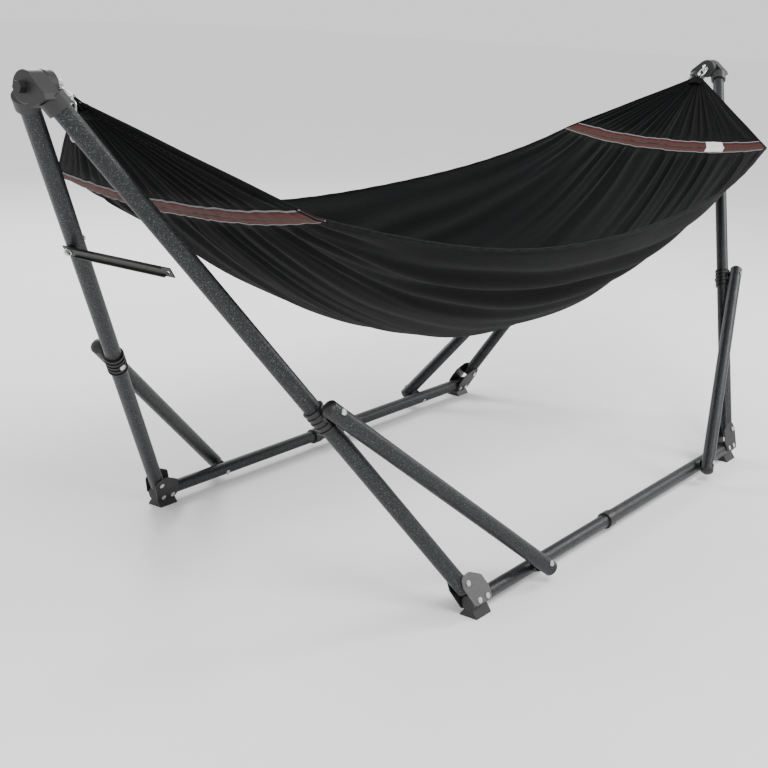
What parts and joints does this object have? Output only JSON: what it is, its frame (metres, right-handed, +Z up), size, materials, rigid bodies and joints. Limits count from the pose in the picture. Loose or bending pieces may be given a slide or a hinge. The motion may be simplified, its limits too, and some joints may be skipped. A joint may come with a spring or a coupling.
{
  "type": "hammock on stand",
  "caption": "Woven hammock hung between the two apexes of a folding tube stand with telescopic ground rails and braced legs.",
  "frame": {"origin": "on the floor, under the middle of the stand", "axes": "+X along the hammock towards the outer rail tubes, +Y across to the rear side frame, +Z up"},
  "size_m": [2.9674, 1.1516, 1.176],
  "materials": {
    "hammertone_tube": "hammertone powder coat",
    "painted_link": "satin paint",
    "metal_badge": "satin",
    "dark_plate": "satin paint",
    "cap_plastic": "matte",
    "black_plastic": "matte",
    "zinc_hardware": "bright zinc",
    "hammock_cloth": "woven cotton",
    "ribbon": "striped woven tape",
    "white_label": "plain woven label"
  },
  "bodies": {
    "rear_right_pad": {"rear_right_foot": "black_plastic"},
    "rear_right_frame": {"rear_rail_collar": "black_plastic", "rear_rail_outer": "hammertone_tube", "rear_right_brace": "hammertone_tube", "rear_right_brace_plugs": "black_plastic", "rear_right_cap": "cap_plastic", "rear_right_end_plugs": "black_plastic", "rear_right_leg": "hammertone_tube", "rear_right_plates": "dark_plate", "rear_right_rivets": "zinc_hardware", "rear_right_saddle": "black_plastic", "right_link_bolt": "zinc_hardware"},
    "rear_left_frame": {"left_link_bolt": "zinc_hardware", "rear_left_brace": "hammertone_tube", "rear_left_brace_plugs": "black_plastic", "rear_left_cap": "cap_plastic", "rear_left_end_plugs": "black_plastic", "rear_left_leg": "hammertone_tube", "rear_left_plates": "dark_plate", "rear_left_rivets": "zinc_hardware", "rear_left_saddle": "black_plastic", "rear_rail_inner": "hammertone_tube"},
    "front_right_frame": {"front_rail_collar": "black_plastic", "front_rail_outer": "hammertone_tube", "front_right_brace": "hammertone_tube", "front_right_brace_plugs": "black_plastic", "front_right_cap": "cap_plastic", "front_right_end_plugs": "black_plastic", "front_right_leg": "hammertone_tube", "front_right_plates": "dark_plate", "front_right_rivets": "zinc_hardware", "front_right_saddle": "black_plastic"},
    "front_left_frame": {"front_left_badge_plate": "metal_badge", "front_left_brace": "hammertone_tube", "front_left_brace_plugs": "black_plastic", "front_left_cap": "cap_plastic", "front_left_end_plugs": "black_plastic", "front_left_leg": "hammertone_tube", "front_left_plates": "dark_plate", "front_left_rivets": "zinc_hardware", "front_left_saddle": "black_plastic", "front_rail_inner": "hammertone_tube"},
    "rear_left_pad": {"rear_left_foot": "black_plastic"},
    "front_right_pad": {"front_right_foot": "black_plastic"},
    "front_left_pad": {"front_left_foot": "black_plastic"},
    "right_ridge_bolt": {"right_eye_bolt": "zinc_hardware", "right_ridge_nut": "dark_plate"},
    "left_ridge_bolt": {"left_eye_bolt": "zinc_hardware", "left_ridge_nut": "dark_plate"},
    "right_spreader": {"right_link": "painted_link"},
    "left_spreader": {"left_link": "painted_link"},
    "hammock": {"hammock_bed": "hammock_cloth", "left_fan": "hammock_cloth", "right_fan": "hammock_cloth", "right_oval_link": "painted_link", "right_ring": "zinc_hardware"},
    "left_hook": {"left_oval_link": "painted_link", "left_ring": "zinc_hardware", "left_tail_loop": "zinc_hardware"}
  },
  "joints": [
    {"name": "frame_fold", "type": "hinge", "parent": "rear_right_frame", "child": "front_right_frame", "pos_m": [0, 0, 1.146], "axis": [1, 0, 0], "range_deg": [0, 46]},
    {"name": "rear_roll", "type": "hinge", "parent": "rear_right_pad", "child": "rear_right_frame", "pos_m": [0, 0.508, 0.035], "axis": [-1, 0, 0], "range_deg": [0, 23]},
    {"name": "telescope", "type": "slide", "parent": "rear_right_frame", "child": "rear_left_frame", "axis": [1, 0, 0], "range_m": [0, 0.25], "deforming": ["hammock_bed", "left_fan", "right_fan"]},
    {"name": "front_telescope", "type": "slide", "parent": "front_right_frame", "child": "front_left_frame", "axis": [1, 0, 0], "range_m": [0, 0.25]},
    {"name": "rear_left_pad_turn", "type": "hinge", "parent": "rear_left_frame", "child": "rear_left_pad", "pos_m": [0, 0.508, 0.035], "axis": [1, 0, 0], "range_deg": [0, 23]},
    {"name": "front_right_pad_turn", "type": "hinge", "parent": "front_right_frame", "child": "front_right_pad", "pos_m": [0, -0.508, 0.035], "axis": [-1, 0, 0], "range_deg": [0, 23]},
    {"name": "front_left_pad_turn", "type": "hinge", "parent": "front_left_frame", "child": "front_left_pad", "pos_m": [0, -0.508, 0.035], "axis": [-1, 0, 0], "range_deg": [0, 23]},
    {"name": "right_bolt_turn", "type": "hinge", "parent": "rear_right_frame", "child": "right_ridge_bolt", "pos_m": [0, 0, 1.146], "axis": [1, 0, 0], "range_deg": [0, 23]},
    {"name": "left_bolt_turn", "type": "hinge", "parent": "rear_left_frame", "child": "left_ridge_bolt", "pos_m": [0, 0, 1.146], "axis": [1, 0, 0], "range_deg": [0, 23]},
    {"name": "right_link_swing", "type": "hinge", "parent": "rear_right_frame", "child": "right_spreader", "pos_m": [1.22962, 0.17112, 0.815], "axis": [0.8322, 0, -0.5544], "range_deg": [0, 112]},
    {"name": "left_link_swing", "type": "hinge", "parent": "rear_left_frame", "child": "left_spreader", "pos_m": [-1.22962, 0.17112, 0.815], "axis": [0.8322, 0, 0.5544], "range_deg": [0, 112]},
    {"name": "hammock_swing", "type": "hinge", "parent": "right_ridge_bolt", "child": "hammock", "pos_m": [1.38771, 0, 1.13969], "axis": [1, 0, 0], "range_deg": [-15, 15]},
    {"name": "left_hook_swing", "type": "hinge", "parent": "left_ridge_bolt", "child": "left_hook", "pos_m": [-1.38771, 0, 1.13969], "axis": [1, 0, 0], "range_deg": [-15, 15]}
  ],
  "couplings": [
    {"joint": "rear_roll", "follows": "frame_fold", "ratio": 0.5},
    {"joint": "front_telescope", "follows": "telescope", "ratio": 1},
    {"joint": "rear_left_pad_turn", "follows": "frame_fold", "ratio": 0.5},
    {"joint": "front_right_pad_turn", "follows": "frame_fold", "ratio": 0.5},
    {"joint": "front_left_pad_turn", "follows": "frame_fold", "ratio": 0.5},
    {"joint": "right_bolt_turn", "follows": "frame_fold", "ratio": 0.5},
    {"joint": "left_bolt_turn", "follows": "frame_fold", "ratio": 0.5},
    {"joint": "right_link_swing", "follows": "frame_fold", "ratio": 2.4348},
    {"joint": "left_link_swing", "follows": "frame_fold", "ratio": 2.4348},
    {"joint": "left_hook_swing", "follows": "hammock_swing", "ratio": 1}
  ]
}
